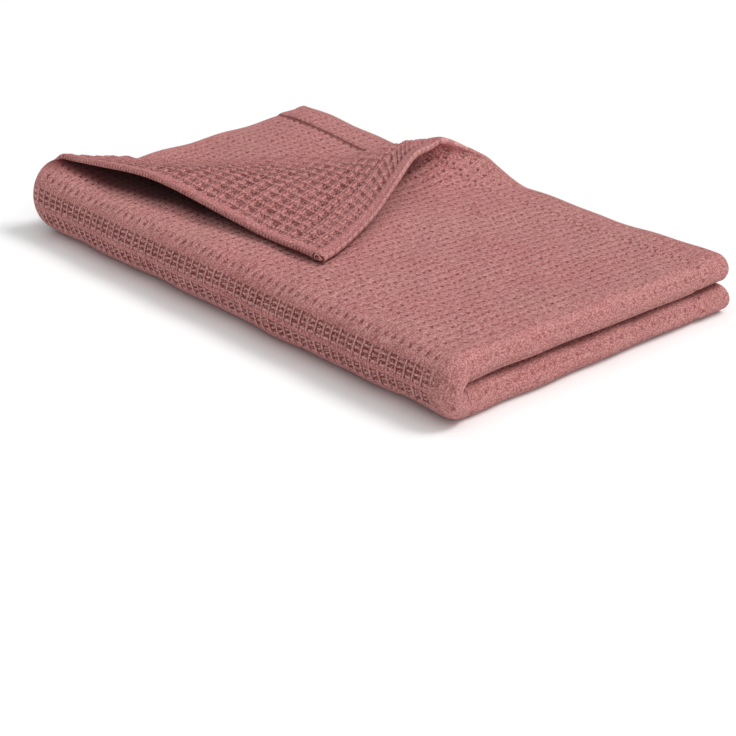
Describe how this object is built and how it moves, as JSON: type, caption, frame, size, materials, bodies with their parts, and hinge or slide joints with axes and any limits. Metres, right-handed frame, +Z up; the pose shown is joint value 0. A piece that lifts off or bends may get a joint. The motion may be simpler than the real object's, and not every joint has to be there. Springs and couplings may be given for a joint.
{
  "type": "folded dish towel",
  "caption": "Thick cotton waffle-weave dish towel folded in half both ways, with one top corner turned back over it.",
  "frame": {"origin": "centre of the folded towel's box in plan, on the surface that it lies on", "axes": "+X along the folded towel towards its round folded end, +Y from the front bend to the open back edges, +Z up"},
  "size_m": [0.3427, 0.2074, 0.05],
  "materials": {
    "towel_cloth": "matte dusty rose cotton, waffle weave"
  },
  "bodies": {
    "root": {"dish_towel": "towel_cloth"}
  },
  "joints": []
}
